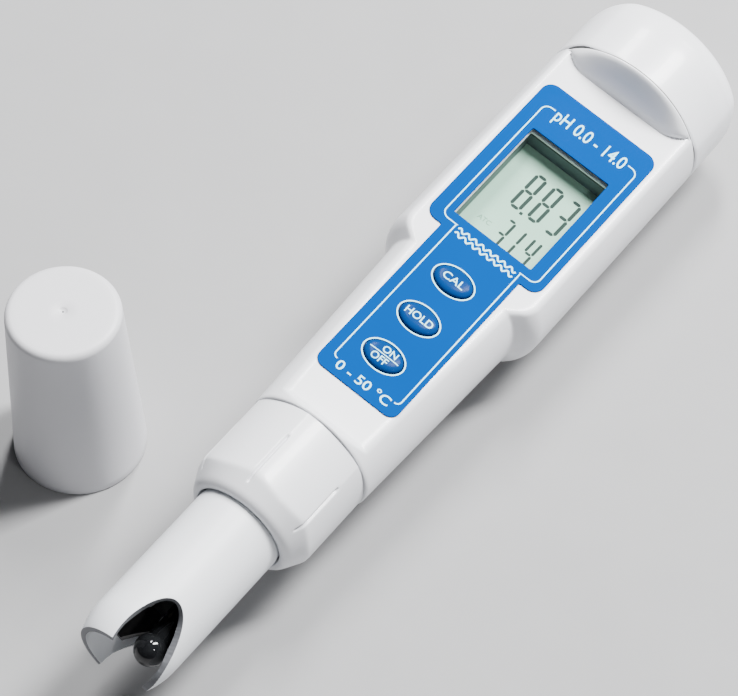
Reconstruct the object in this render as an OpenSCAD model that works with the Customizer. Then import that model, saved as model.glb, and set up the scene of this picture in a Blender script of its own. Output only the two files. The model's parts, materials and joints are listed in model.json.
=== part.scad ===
// Pocket pH test pen with a plug-in glass electrode, lying on its round back,
// and its protective tip cap standing beside it on the same surface.
// Frame: +Y runs along the pen from the electrode to the battery cap, +Z is up.
// The origin is on the pen's axis, where the probe tube leaves the collar.

/* [Pen] */
// Radius of the wide part of the housing
body_r = 18.8; // [18:0.1:19.5]
// Radius of the narrow part of the housing, just below its step
neck_r = 15.6; // [15.2:0.1:16]
// Radius of the housing at its joint with the collar
foot_r = 14; // [13.8:0.1:14.4]
// Height of the flat front face above the pen's axis
face_z = 10.2; // [10:0.1:10.6]
// Turn of the front face about the pen's axis, as the pen lies
face_turn = 12; // [0:1:20]
// Length of the battery cap
cap_len = 19.3; // [16:0.1:20]

/* [Probe] */
// Radius of the probe tube
tube_r = 9.5; // [9.3:0.1:9.6]
// Length of the probe tube that stands out of the collar
tube_len = 35.8; // [35:0.1:38]
// Radius of the collar across its corners
collar_r = 13.9; // [13.7:0.1:14.1]
// Length of the collar
collar_len = 21.3; // [21:0.1:21.6]
// Radius of the glass bulb
bulb_r = 3.2; // [2.8:0.1:3.4]

/* [Front panel] */
// Half width of the film beside the display
film_wide = 14.1; // [13:0.1:14.5]
// Half width of the film beside the buttons
film_narrow = 9.8; // [9:0.1:10]
// Half width of the display window
window_w = 9.65; // [9:0.05:10]
// Height of the display window
window_h = 26.8; // [25:0.1:27.5]
// Distance between two buttons
button_pitch = 11.2; // [10.5:0.1:11.5]
// Depth that a button travels when it is pressed
button_travel = 0.5; // [0.3:0.1:0.6]

/* [Tip cap] */
// Radius of the tip cap at its mouth
tip_mouth_r = 13.3; // [13:0.1:14]
// Radius of the tip cap at its closed end
tip_end_r = 11.2; // [11.1:0.1:12]
// Height of the tip cap
tip_h = 43.5; // [42:0.5:50]
// Where the tip cap stands, across the pen
tip_x = -45.9; // [-60:0.1:-40]
// Where the tip cap stands, along the pen
tip_y = 5.8; // [0:0.1:20]

/* [Hidden] */
$fn = 72;

clear = 0.3;           // gap between parts that move past each other
wall = 1.8;            // wall of the housing
rest_z = -body_r;      // the surface that the pen and its tip cap stand on
hair = 0.02;           // gap between pieces that lie against each other

// stations along the pen
joint_low = collar_len + 0.2;
joint_top = 125.4;
pen_top = joint_top + 0.2 + cap_len;
step_y = 73.6;
neck_low = 66.8;
step_r = 5;
film_low = 32.6;
film_top = 116;
window_low = 77.6;
window_top = window_low + window_h;
button_first = 42.3;
key_a = 4.3;
key_b = 2.9;
flat_low = 24.4;
flat_high = 121.9;
shoulder_half = 10;     // half width of the straight foot of the shoulder

// the inside of the housing
bore_low_r = 12.4;
bore_top_r = body_r - wall;
bore_z = face_z - wall;

// levels of the stack behind the front face, from the back to the front
board_z = -0.4;
board_t = 1.6;
lcd_z = 2.9;
lcd_t = 1.4;
lens_t = 1.2;
film_t = 0.3;
switch_top = 6.9;
key_low = switch_top + button_travel + 0.1;

// the collar joint
spigot_r = collar_r - 2.4;
spigot_bore = 9.9;
spigot_low = 8;
flange_low = 3.2;
flange_t = 3;

// the cell stack
cell_r = 5.8;
cell_h = 5.4;
cell_z = -7.2;
cell_low = 101.4;

// the probe's open end
tube_straight = 29.5;   // below this the tube narrows in a gentle curve
tube_curve = 16;
tube_wall = 1.6;
notch_depth = 13.9;
notches = [[27, 5.9], [155, 7]];   // turn and half width of each
notch_lean = 6;
core_end = -20.5;
electrode_x = 3.6;
bulb_y = -30;
lining_end = -29.4;

// ---- helpers -------------------------------------------------------------

// places a piece of the pen, which lies with its face turned
module pen() rotate([0, face_turn, 0]) children();

// a rod along the pen, from y0 to y1
module rod(r, y0, y1, x = 0, z = 0)
    translate([x, y0, z]) rotate([-90, 0, 0]) cylinder(r = r, h = y1 - y0);

// a solid of revolution about the pen's axis; its points are [radius, y]
module turned(points) rotate([-90, 0, 0]) rotate_extrude() polygon(points);

// a plate parallel to the front face, from z0 to z1
module plate(z0, z1) translate([0, 0, z0]) linear_extrude(z1 - z0) children();

// a block between two corners
module block(a, b) translate(a) cube(b - a);

// a rectangle with round corners, from its low corner to its high corner
module rounded(a, b, r) {
    translate([a.x + r, a.y]) square([b.x - a.x - 2 * r, b.y - a.y]);
    translate([a.x, a.y + r]) square([b.x - a.x, b.y - a.y - 2 * r]);
    for (x = [a.x + r, b.x - r], y = [a.y + r, b.y - r]) translate([x, y]) circle(r);
}

// an ellipse as a polygon with half axes a and b
module oval(a, b, n = 40)
    polygon([for (i = [0:n - 1]) [a * cos(360 * i / n), b * sin(360 * i / n)]]);

// points of an arc about [cx, cy]
function arc(cx, cy, r, from, to, n = 8) =
    [for (i = [0:n]) let (t = from + (to - from) * i / n) [cx + r * cos(t), cy + r * sin(t)]];

function button_y(i) = button_first + button_pitch * i;

// ---- housing -------------------------------------------------------------

// the outline of the housing before its front is cut flat
module housing_round() {
    slope_end = neck_low + body_r - step_r * (1 - cos(45)) - neck_r;
    turned(concat(
        [[0, joint_low], [foot_r - 0.4, joint_low], [foot_r, joint_low + 0.4], [neck_r, neck_low]],
        arc(body_r - step_r, slope_end + step_r * sin(45), step_r, -45, 0, 8),
        [[body_r, joint_top - 0.3], [body_r - 0.3, joint_top], [0, joint_top]]
    ));
}

// the space in front of the flat face, open above, with sloped ends
module front_cut() {
    big = 3 * body_r;
    difference() {
        translate([-big / 2, 0, 0]) rotate([90, 0, 90]) linear_extrude(big) polygon([
            [flat_low, face_z], [joint_top + 5, face_z], [joint_top + 5, big],
            [joint_low - 1, big], [joint_low + 0.6, foot_r]
        ]);
        shoulder();
    }
}

// the slope from the flat face up to the round rim below the battery cap
module shoulder() {
    hull() {
        rod(body_r, joint_top - 0.02, joint_top + 6);
        block([-shoulder_half, flat_high, 0], [shoulder_half, flat_high + 0.02, face_z]);
    }
}

// what is hollow in the housing
module housing_hollow() {
    intersection() {
        turned([
            [0, joint_low + 2], [bore_low_r, joint_low + 2], [bore_low_r, neck_low - 2],
            [bore_top_r, step_y + 1], [bore_top_r, joint_top + 1], [0, joint_top + 1]
        ]);
        block([-30, 0, -30], [30, joint_top + 1, bore_z]);
    }
    rod(spigot_bore, spigot_low - 1, joint_low + 3);
}

module housing() color("whitesmoke") pen() difference() {
    union() {
        difference() {
            housing_round();
            front_cut();
        }
        rod(spigot_r, spigot_low, joint_low + 1);
    }
    housing_hollow();
    // the window and the pocket that its lens lies in
    block([-window_w, window_low, 0], [window_w, window_top, 20]);
    block([-window_w - 1, window_low - 1, face_z - lens_t], [window_w + 1, window_top + 1, 20]);
    // the three button openings
    for (i = [0:2]) translate([0, button_y(i), 0]) plate(0, 20) oval(key_a + 0.2, key_b + 0.2);
}

// ---- front panel ---------------------------------------------------------

module face_overlay() color("dodgerblue") pen() difference() {
    plate(face_z, face_z + film_t) union() {
        rounded([-film_wide, step_y], [film_wide, film_top], 2.6);
        rounded([-film_narrow, film_low], [film_narrow, step_y + 6], 2.2);
    }
    block([-window_w, window_low, 0], [window_w, window_top, 20]);
    for (i = [0:2]) translate([0, button_y(i), 0]) plate(0, 20) oval(key_a + 0.2, key_b + 0.2);
}

module window_lens() color("lightblue", 0.4) pen()
    block([-window_w - 0.9, window_low - 0.9, face_z - lens_t + hair],
          [window_w + 0.9, window_top + 0.9, face_z - hair]);

module window_gasket() color("black") pen() difference() {
    block([-window_w - 1.4, window_low - 1.4, bore_z - 0.5],
          [window_w + 1.4, window_top + 1.4, bore_z - hair]);
    block([-window_w, window_low, 0], [window_w, window_top, 20]);
}

module lcd_bezel() color("dimgray") pen() difference() {
    block([-window_w - 1.6, window_low - 2.2, lcd_z + lcd_t + hair],
          [window_w + 1.6, window_top + 2.2, bore_z - 0.5 - hair]);
    block([-window_w, window_low, 0], [window_w, window_top, 20]);
}

module lcd_panel() color("darkseagreen") pen()
    block([-window_w - 1.6, window_low - 2.2, lcd_z], [window_w + 1.6, window_top + 2.2, lcd_z + lcd_t]);

module lcd_contact_strips() color("gray") pen()
    for (y = [window_low - 1.8, window_top - 0.2])
        block([-window_w, y, board_z + board_t + hair], [window_w, y + 2, lcd_z - hair]);

// ---- electronics ---------------------------------------------------------

module main_board() color("darkgreen") pen() plate(board_z, board_z + board_t) union() {
    rounded([-10, 32], [10, step_y + 3], 1);
    rounded([-14.5, step_y + 1], [14.5, window_top + 5], 1);
}

module controller_chip() color("#222222") pen()
    block([-4, 86, board_z + board_t + hair], [4, 94, board_z + board_t + 1.2]);

// resistors and capacitors beside the chip, and a crystal
module board_components() color("tan") pen() {
    top = board_z + board_t + hair;
    for (x = [-7.5, 6.3], i = [0:3]) block([x, 83 + 4 * i, top], [x + 1.2, 85 + 4 * i, top + 0.6]);
    rod(0.75, 96.5, 102.5, 0, top + 0.75 + hair);
}

module switch_bodies() color("#333333") pen() for (i = [0:2]) translate([0, button_y(i), 0])
    difference() {
        block([-3, -3, board_z + board_t + hair], [3, 3, switch_top]);
        translate([0, 0, switch_top - 1.6]) cylinder(r = 1.45, h = 5);
    }

// the part of a switch that its button pushes down
module plunger(i) color("white") pen()
    translate([0, button_y(i), switch_top - 0.9]) cylinder(r = 1.4, h = key_low - hair - switch_top + 0.9);

module cal_plunger() plunger(2);
module hold_plunger() plunger(1);
module power_plunger() plunger(0);

// a domed key with a flange that keeps it inside the housing
module button(i) color("royalblue") pen() translate([0, button_y(i), 0]) {
    plate(key_low, bore_z - 0.2) oval(key_a + 0.8, key_b + 0.8);
    plate(key_low, face_z + 0.6) oval(key_a, key_b);
    plate(key_low, face_z + 0.9) oval(key_a - 0.6, key_b - 0.5);
    plate(key_low, face_z + 1.1) oval(key_a - 1.5, key_b - 1.2);
}

module cal_button() button(2);
module hold_button() button(1);
module power_button() button(0);

// a rubber sheet that seals the board around the switches
module keypad_gasket() color("dimgray") pen() difference() {
    plate(board_z + board_t + hair, board_z + board_t + 0.8)
        rounded([-8.5, 35.5], [8.5, step_y - 3.5], 2);
    for (i = [0:2]) translate([0, button_y(i), 0]) block([-3.2, -3.2, 0], [3.2, 3.2, 20]);
}

// ---- battery compartment -------------------------------------------------

module battery_tray() color("gainsboro") pen() difference() {
    intersection() {
        union() {
            rod(cell_r + 1.4, cell_low - 4, 122, 0, cell_z);
            block([-12, cell_low - 4, cell_z - 1], [12, 122, cell_z + 1]);
        }
        rod(bore_top_r - 0.1, 90, 122);
        block([-30, 0, -30], [30, 122, board_z - 0.6]);
    }
    rod(cell_r + 0.15, cell_low - 2.6, 123, 0, cell_z);
    block([-4, cell_low - 2.6, cell_z], [4, 123, 20]);
}

module button_cells() color("silver") pen() for (i = [0:3]) {
    low = cell_low + i * cell_h;
    rod(cell_r - 0.05, low + hair, low + cell_h - 1, 0, cell_z);
    rod(cell_r - 0.7, low + cell_h - 1.1, low + cell_h, 0, cell_z);
}

// a bowed strip behind the first cell
module negative_contact() color("goldenrod") pen() translate([-2, cell_low - 2.5, cell_z])
    rotate([90, 0, 90]) linear_extrude(4) polygon([
        [0, -5], [0.3, -5], [2.4, -0.6], [2.4, 0.6], [0.3, 5], [0, 5], [0, 4.6],
        [2.05, 0.4], [2.05, -0.4], [0, -4.6]
    ]);

// ---- battery cap ---------------------------------------------------------

// the wide front of the cap is a little flatter than its back
module cap_outline(y0, y1) {
    front = body_r - 1.7;
    crease = 56;
    back = (body_r * body_r - front * front) / (2 * (front - body_r * cos(crease)));
    intersection() {
        rod(body_r, y0, y1);
        rotate([0, 12, 0]) rod(front + back, y0, y1, 0, -back);
    }
}

module battery_cap() color("whitesmoke") pen() {
    low = joint_top + 0.5;
    round_r = 7;
    difference() {
        intersection() {
            cap_outline(low, pen_top);
            turned(concat(
                [[0, low], [body_r - 0.3, low], [body_r, low + 0.3]],
                arc(body_r - 0.2 - round_r, pen_top - round_r, round_r, 0, 90, 10),
                [[0, pen_top]]
            ));
        }
        rod(body_r - 3.2, low - 1, pen_top - 6);
    }
    // the skirt that goes into the housing
    difference() {
        intersection() {
            rod(bore_top_r - clear, joint_top - 2.8, low + 1);
            block([-30, 0, -30], [30, low + 1, bore_z - clear]);
        }
        rod(body_r - 3.6, joint_top - 4, low + 2);
    }
}

module battery_cap_gasket() color("#202020") pen() difference() {
    rod(body_r - 0.35, joint_top + hair, joint_top + 0.5 - hair);
    rod(bore_top_r - clear + hair, joint_top - 1, joint_top + 2);
}

// the plate in the cap that joins the last cell to the housing's circuit
module positive_contact() color("silver") pen() {
    rod(4.6, 123.2, 123.6, 0, cell_z);
    rod(1.2, 123.5, pen_top - 6 - hair, 0, cell_z);
}

// ---- probe ---------------------------------------------------------------

// the arched notches in the end of the tube
module end_notches()
    for (n = notches) rotate([0, n.x, 0]) translate([0, -tube_len, 0]) rotate(notch_lean)
        plate(0, 20) oval(n.y, notch_depth);

module probe_tube() color("white") pen() difference() {
    beyond = tube_len - tube_straight;
    sweep = asin(beyond / tube_curve);
    bore_curve = tube_curve - tube_wall;
    bore_sweep = asin((beyond + 1) / bore_curve);
    union() {
        turned(concat(
            [[0, -tube_len]],
            arc(tube_r - tube_curve, -tube_straight, tube_curve, -sweep, 0, 8),
            [[tube_r, 0], [tube_r - 0.2, 0.2], [tube_r - 0.2, 16], [0, 16]]
        ));
        rod(spigot_r - 0.1, flange_low, flange_low + flange_t);
    }
    turned(concat(
        [[0, -tube_len - 1]],
        arc(tube_r - tube_curve, -tube_straight, bore_curve, -bore_sweep, 0, 8),
        [[tube_r - tube_wall, 17], [0, 17]]
    ));
    end_notches();
}

// the potting that holds the electrode, drawn out into a dark lining of the tube
module probe_core() color("#181818") pen() difference() {
    rod(tube_r - tube_wall - hair, lining_end, 15.9);
    rod(tube_r - 2.3, lining_end - 1, core_end);
    end_notches();
    rod(2.6 + hair, core_end - 1, 11, electrode_x);
    rod(1.5 + hair, core_end - 1, 6, -3.6, -2.4);
    rod(1.4 + hair, core_end - 1, core_end + 6, -2.2, 4.2);
}

module glass_stem() color("lightcyan", 0.5) pen() difference() {
    rod(2.6, bulb_y + 2, 10.9, electrode_x);
    rod(1.9, bulb_y - 2, 12, electrode_x);
}

// a thin ball of glass, open where it joins the stem
module glass_bulb() color("lightcyan", 0.5) pen() {
    neck = 2 - hair;
    open = asin(neck / bulb_r);
    inner_open = asin(neck / (bulb_r - 0.4));
    translate([electrode_x, bulb_y, 0]) rotate([-90, 0, 0]) rotate_extrude() polygon(concat(
        arc(0, 0, bulb_r, -90, open, 16),
        arc(0, 0, bulb_r - 0.4, inner_open, -90, 16)
    ));
}

// the two silver wires in the glass; the longer one reaches into the bulb
module inner_electrode() color("silver") pen() translate([electrode_x, 0, 0]) {
    rod(0.45, bulb_y - 1, 10.9, -0.25, 1.35);
    rod(0.45, bulb_y + 2.6, 10.9, 0.85, 1.1);
    block([-0.3, 9.9, 0.9], [0.9, 10.9, 1.3]);
}

module temperature_sensor() color("silver") pen() translate([-3.6, 0, -2.4]) {
    rod(1.5, -21.5, 5.9);
    translate([0, -21.5, 0]) sphere(r = 1.5);
}

module reference_junction() color("ivory") pen()
    rod(1.4, core_end - 0.8, core_end + 5.9, -2.2, 4.2);

module probe_plug() color("#303030") pen() difference() {
    rod(7.6, 16 + hair, 21, 0, 0);
    for (a = [0:90:270]) rotate([0, a, 0]) rod(0.62, 15, 22, 4.2);
}

module plug_pins() color("gold") pen()
    for (a = [0:90:270]) rotate([0, a, 0]) rod(0.6, 16 + hair, 27.5, 4.2);

module probe_o_ring() color("#202020") pen()
    translate([0, flange_low + flange_t + 0.85, 0]) rotate([-90, 0, 0])
        rotate_extrude() translate([10.6, 0]) circle(r = 0.8);

module probe_socket() color("#404040") pen() difference() {
    rod(bore_low_r - 0.1, 25, 30.5);
    block([-20, 20, bore_z - 0.4], [20, 40, 20]);
    for (a = [0:90:270]) rotate([0, a, 0]) rod(1.4, 24, 30, 4.2);
}

// a sprung sleeve round each pin
module socket_contacts() color("gold") pen()
    for (a = [0:90:270]) rotate([0, a, 0]) difference() {
        rod(1.3, 25.5, 29.9, 4.2);
        rod(0.7, 24, 29, 4.2);
    }

module probe_leads() color("firebrick") pen()
    for (x = [-3, -1, 1, 3]) rod(0.5, 30.5 + hair, 35, x, board_z - 0.5 - hair);

// ---- collar --------------------------------------------------------------

module collar_nut() color("whitesmoke") pen() {
    middle = collar_r - 0.45;
    back = (collar_r * collar_r - middle * middle) / (2 * (middle - collar_r * cos(30)));
    first = 20;
    difference() {
        intersection() {
            turned([
                [0, 0.3], [11.3, 0.3], [12, 0.6], [collar_r - 0.2, 4.8], [collar_r + 1, 6.5],
                [collar_r + 1, collar_len - 1.8], [collar_r - 0.3, collar_len], [0, collar_len]
            ]);
            intersection_for (i = [0:5]) rotate([0, first + 60 * i, 0])
                rod(middle + back, -1, collar_len + 1, 0, -back);
        }
        rod(tube_r + 0.6, -1, collar_len + 1);
        rod(spigot_r + 0.35, flange_low - 0.1, collar_len + 1);
        for (i = [0:5]) rotate([0, first + 30 + 60 * i, 0])
            block([-0.22, 3, collar_r - 0.35], [0.22, 16.2, collar_r + 2]);
    }
}

// ---- tip cap -------------------------------------------------------------

module tip_cap() color("whitesmoke") translate([tip_x, tip_y, rest_z]) {
    skin = 1.3;
    rotate_extrude() polygon(concat(
        [[tip_mouth_r - skin, 0], [tip_mouth_r - 0.3, 0], [tip_mouth_r, 0.3]],
        arc(tip_end_r - 1.4, tip_h - 1.4, 1.4, 0, 90, 6),
        [[0, tip_h], [0, tip_h - 1.5], [tip_end_r - skin, tip_h - 1.5]]
    ));
}

// the pad in the closed end that keeps the bulb wet
module tip_cap_sponge() color("khaki") translate([tip_x, tip_y, rest_z])
    translate([0, 0, tip_h - 1.5 - hair - 5]) cylinder(r = tip_end_r - 1.5, h = 5);

housing();
face_overlay();
window_lens();
window_gasket();
lcd_bezel();
lcd_panel();
lcd_contact_strips();
main_board();
controller_chip();
board_components();
switch_bodies();
cal_plunger();
hold_plunger();
power_plunger();
cal_button();
hold_button();
power_button();
keypad_gasket();
battery_tray();
button_cells();
negative_contact();
probe_socket();
socket_contacts();
probe_leads();
battery_cap();
battery_cap_gasket();
positive_contact();
probe_tube();
probe_core();
glass_stem();
glass_bulb();
inner_electrode();
temperature_sensor();
reference_junction();
probe_plug();
plug_pins();
probe_o_ring();
collar_nut();
tip_cap();
tip_cap_sponge();
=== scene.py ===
import json
import math

import bmesh
import bpy
from mathutils import Matrix, Vector


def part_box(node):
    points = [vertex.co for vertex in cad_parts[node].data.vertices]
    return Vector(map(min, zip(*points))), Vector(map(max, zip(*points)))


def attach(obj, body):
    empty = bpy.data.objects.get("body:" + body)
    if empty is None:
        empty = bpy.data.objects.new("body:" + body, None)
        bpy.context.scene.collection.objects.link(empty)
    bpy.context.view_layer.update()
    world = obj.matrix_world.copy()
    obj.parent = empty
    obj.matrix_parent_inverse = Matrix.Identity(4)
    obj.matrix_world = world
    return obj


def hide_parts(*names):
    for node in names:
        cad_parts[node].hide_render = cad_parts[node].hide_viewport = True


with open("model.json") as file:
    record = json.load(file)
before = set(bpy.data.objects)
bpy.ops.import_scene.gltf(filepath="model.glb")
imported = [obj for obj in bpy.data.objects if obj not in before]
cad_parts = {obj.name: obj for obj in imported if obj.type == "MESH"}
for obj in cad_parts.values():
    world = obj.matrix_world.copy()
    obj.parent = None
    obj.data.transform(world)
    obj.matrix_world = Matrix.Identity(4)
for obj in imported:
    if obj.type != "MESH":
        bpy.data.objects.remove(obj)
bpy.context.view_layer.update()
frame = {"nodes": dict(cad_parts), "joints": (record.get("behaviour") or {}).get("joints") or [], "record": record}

# Shapes are built in the pen's own frame, in millimetres: +Y along the pen, +Z out of its face.
# settle() turns them with the face and brings them to metres.

MM = 0.001
PRESS_AXIS = next(j for j in frame["joints"] if j["name"] == "cal_press")["axis"]
FACE_TURN = math.atan2(-PRESS_AXIS[0], -PRESS_AXIS[2])
TO_ROW = Matrix.Rotation(FACE_TURN, 4, "Y") @ Matrix.Scale(MM, 4)
FROM_ROW = TO_ROW.inverted()


def pen_points(node):
    return [FROM_ROW @ v.co for v in frame["nodes"][node].data.vertices]


def pen_box(node):
    """Lowest and highest corner of a CAD node in the pen's own frame, in millimetres."""
    points = pen_points(node)
    low = Vector(min(p[k] for p in points) for k in range(3))
    high = Vector(max(p[k] for p in points) for k in range(3))
    return low, high


# ---- sizes, from the CAD -------------------------------------------------

HOUSING_LOW, HOUSING_HIGH = pen_box("housing")
CAP_LOW, CAP_HIGH = pen_box("battery_cap")
COLLAR_HIGH = pen_box("collar_nut")[1]
TUBE_LOW, TUBE_HIGH = pen_box("probe_tube")
FILM_LOW, FILM_HIGH = pen_box("face_overlay")
LENS_LOW, LENS_HIGH = pen_box("window_lens")
LCD_LOW, LCD_HIGH = pen_box("lcd_panel")
TIP_LOW, TIP_HIGH = (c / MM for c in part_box("tip_cap"))

FACE_Z = FILM_LOW.z
FILM_Z = FILM_HIGH.z
BODY_R = HOUSING_HIGH.x
JOINT_TOP = HOUSING_HIGH.y
PEN_TOP = CAP_HIGH.y
COLLAR_LEN = COLLAR_HIGH.y
JOINT_LOW = COLLAR_LEN + 0.2
TUBE_R = frame["record"]["mounts"][0]["dims"]["r_mm"]
FILM_WIDE = FILM_HIGH.x
FILM_NARROW = max(abs(p.x) for p in pen_points("face_overlay") if p.y < 50)
STEP_Y = min(p.y for p in pen_points("face_overlay") if abs(p.x) > FILM_NARROW + 0.5)
WINDOW_LIP = 0.9
WINDOW_W = LENS_HIGH.x - WINDOW_LIP
WINDOW_LOW = LENS_LOW.y + WINDOW_LIP
WINDOW_TOP = LENS_HIGH.y - WINDOW_LIP

# what the CAD's own source fixes and its boxes don't show
WALL = 1.8
FOOT_R = 14.0
NECK_R = 15.6
NECK_LOW = 66.8
NECK_ROUND = 5.0
FLAT_LOW = 24.4
FLAT_HIGH = 121.9
BORE_LOW_R = 12.4
SPIGOT_BORE = 9.9
COLLAR_R = 13.9
KEY_A = 4.3
KEY_B = 2.9
TUBE_STRAIGHT = 29.5
TUBE_CURVE = 16.0
TUBE_WALL = 1.6
NOTCH_LEAN = 6
ELECTRODE_X = 3.6
BULB_Y = -30.0
BULB_R = 3.2
STEM_R = 2.6

# where the tube's end differs from the CAD: shallower notches, a flare on the first, a thinner rim
NOTCH_DEPTH = 13.0
NOTCHES = ((27, 5.9, 38), (155, 7.0, 0))     # turn in degrees, half width, flare in degrees
FLARE_FADE = 2.2
RIM_WALL = 1.1

KEYS = {"cal": "cal_button", "hold": "hold_button", "power": "power_button"}
KEY_YS = {key: sum((pen_box(node)[0].y, pen_box(node)[1].y)) / 2 for key, node in KEYS.items()}
KEY_TOP = pen_box("cal_button")[1].z
KEY_LOW = pen_box("cal_button")[0].z
KEY_RIM = FILM_Z + 0.05
CAP_LOW_RIM = JOINT_TOP + 0.5


# ---- camera, lights, floor -----------------------------------------------

def make_camera():
    """A long lens above the probe's end, as in the photograph."""
    pitch, azimuth = math.radians(54.76), math.radians(37.54)
    away = Vector((-math.sin(azimuth), math.cos(azimuth), 0))
    forward = away * math.cos(pitch) + Vector((0, 0, -math.sin(pitch)))
    data = bpy.data.cameras.new("camera")
    data.sensor_width = 36
    data.lens = 150.3
    data.clip_start = 0.01
    camera = bpy.data.objects.new("camera", data)
    camera.location = (0.20692, -0.22873, 0.49391)
    camera.rotation_euler = forward.to_track_quat("-Z", "Y").to_euler()
    bpy.context.scene.collection.objects.link(camera)
    bpy.context.scene.camera = camera


def area_light(name, at, target, size, power):
    data = bpy.data.lights.new(name, "AREA")
    data.shape = "RECTANGLE"
    data.size, data.size_y = size
    data.energy = power
    light = bpy.data.objects.new(name, data)
    light.location = at
    light.rotation_euler = (Vector(target) - Vector(at)).to_track_quat("-Z", "Y").to_euler()
    bpy.context.scene.collection.objects.link(light)


def make_stage():
    world = bpy.data.worlds.new("studio")
    world.use_nodes = True
    sky = world.node_tree.nodes["Background"]
    sky.inputs["Color"].default_value = (0.90, 0.93, 1.0, 1)
    sky.inputs["Strength"].default_value = 0.10
    bpy.context.scene.world = world
    area_light("right_strip", (0.24, 0.52, 0.76), (0, 0.05, 0), (0.16, 0.50), 27.0)
    area_light("left_strip", (-0.22, 0.50, 0.78), (0, 0.05, 0), (0.12, 0.50), 14.0)
    area_light("glint", (0.55, -0.06, 0.65), (0, 0.05, 0), (0.06, 0.06), 1.0)
    mesh = bpy.data.meshes.new("floor")
    half = 3.0
    z = cad_floor - 0.00005
    corners = [(-half, -half, z), (half, -half, z), (half, half, z), (-half, half, z)]
    mesh.from_pydata(corners, [], [(0, 1, 2, 3)])
    floor = bpy.data.objects.new("floor", mesh)
    bpy.context.scene.collection.objects.link(floor)
    mesh.materials.append(plastic("floor_paper", (0.33, 0.33, 0.335), 0.9, grain=0.3, bump=0.02))


# ---- materials -----------------------------------------------------------

def new_material(name):
    material = bpy.data.materials.new(name)
    material.use_nodes = True
    tree = material.node_tree
    shader = tree.nodes["Principled BSDF"]
    return material, tree, shader


def noise(tree, scale, detail=3.0, roughness=0.55):
    """Noise over the piece's own coordinates, in waves per metre."""
    where = tree.nodes.new("ShaderNodeTexCoord")
    field = tree.nodes.new("ShaderNodeTexNoise")
    field.inputs["Scale"].default_value = scale
    field.inputs["Detail"].default_value = detail
    field.inputs["Roughness"].default_value = roughness
    tree.links.new(where.outputs["Object"], field.inputs["Vector"])
    return field.outputs["Fac"]


def spread(tree, value, low, high):
    """Maps a field from 0..1 to low..high."""
    node = tree.nodes.new("ShaderNodeMapRange")
    node.inputs["To Min"].default_value = low
    node.inputs["To Max"].default_value = high
    tree.links.new(value, node.inputs["Value"])
    return node.outputs["Result"]


def mixed(tree, value, first, second):
    """A colour that goes from first to second with a field."""
    ramp = tree.nodes.new("ShaderNodeValToRGB")
    ramp.color_ramp.elements[0].position = 0.3
    ramp.color_ramp.elements[0].color = (*first, 1)
    ramp.color_ramp.elements[1].position = 0.7
    ramp.color_ramp.elements[1].color = (*second, 1)
    tree.links.new(value, ramp.inputs["Fac"])
    return ramp.outputs["Color"]


def bumped(tree, shader, value, strength, height):
    bump = tree.nodes.new("ShaderNodeBump")
    bump.inputs["Strength"].default_value = strength
    bump.inputs["Distance"].default_value = height * MM
    tree.links.new(value, bump.inputs["Height"])
    tree.links.new(bump.outputs["Normal"], shader.inputs["Normal"])


def plastic(name, colour, rough, grain=1.0, bump=0.05, coat=0.0, tint=0.03, gloss=0.5):
    """Moulded plastic: a fine grain in the surface, a slow change of gloss and a faint change of tone."""
    material, tree, shader = new_material(name)
    tone = mixed(tree, noise(tree, 45), tuple(c * (1 - tint) for c in colour), colour)
    tree.links.new(tone, shader.inputs["Base Color"])
    tree.links.new(spread(tree, noise(tree, 110), rough * 0.85, rough * 1.15), shader.inputs["Roughness"])
    bumped(tree, shader, noise(tree, 2600 * grain, 2.0), bump, 0.05)
    shader.inputs["Specular IOR Level"].default_value = gloss
    shader.inputs["Coat Weight"].default_value = coat
    shader.inputs["Coat Roughness"].default_value = 0.08
    return material


def brushed_metal(name, colour, rough):
    """Metal with fine lines along the pen."""
    material, tree, shader = new_material(name)
    where = tree.nodes.new("ShaderNodeTexCoord")
    stretch = tree.nodes.new("ShaderNodeMapping")
    stretch.inputs["Scale"].default_value = (4000, 150, 4000)
    lines = tree.nodes.new("ShaderNodeTexNoise")
    lines.inputs["Scale"].default_value = 1.0
    lines.inputs["Detail"].default_value = 2.0
    tree.links.new(where.outputs["Object"], stretch.inputs["Vector"])
    tree.links.new(stretch.outputs["Vector"], lines.inputs["Vector"])
    tree.links.new(mixed(tree, lines.outputs["Fac"], tuple(c * 0.88 for c in colour), colour),
                   shader.inputs["Base Color"])
    tree.links.new(spread(tree, lines.outputs["Fac"], rough * 0.7, rough * 1.3), shader.inputs["Roughness"])
    bumped(tree, shader, lines.outputs["Fac"], 0.08, 0.02)
    shader.inputs["Metallic"].default_value = 1.0
    return material


def see_through(name, colour, alpha, rough=0.03):
    """A clear sheet: mostly open, with its own gloss."""
    material, tree, shader = new_material(name)
    shader.inputs["Base Color"].default_value = (*colour, 1)
    shader.inputs["Alpha"].default_value = alpha
    shader.inputs["IOR"].default_value = 1.49
    tree.links.new(spread(tree, noise(tree, 300), rough * 0.8, rough * 1.6), shader.inputs["Roughness"])
    bumped(tree, shader, noise(tree, 500), 0.02, 0.02)
    return material


def dark_glass(name):
    """Thin blown glass, coloured nearly black, with hard highlights."""
    material, tree, shader = new_material(name)
    tone = mixed(tree, noise(tree, 350), (0.003, 0.003, 0.004), (0.012, 0.013, 0.014))
    tree.links.new(tone, shader.inputs["Base Color"])
    tree.links.new(spread(tree, noise(tree, 600), 0.02, 0.06), shader.inputs["Roughness"])
    bumped(tree, shader, noise(tree, 260), 0.12, 0.06)
    shader.inputs["IOR"].default_value = 1.52
    shader.inputs["Specular IOR Level"].default_value = 0.4
    return material


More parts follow.
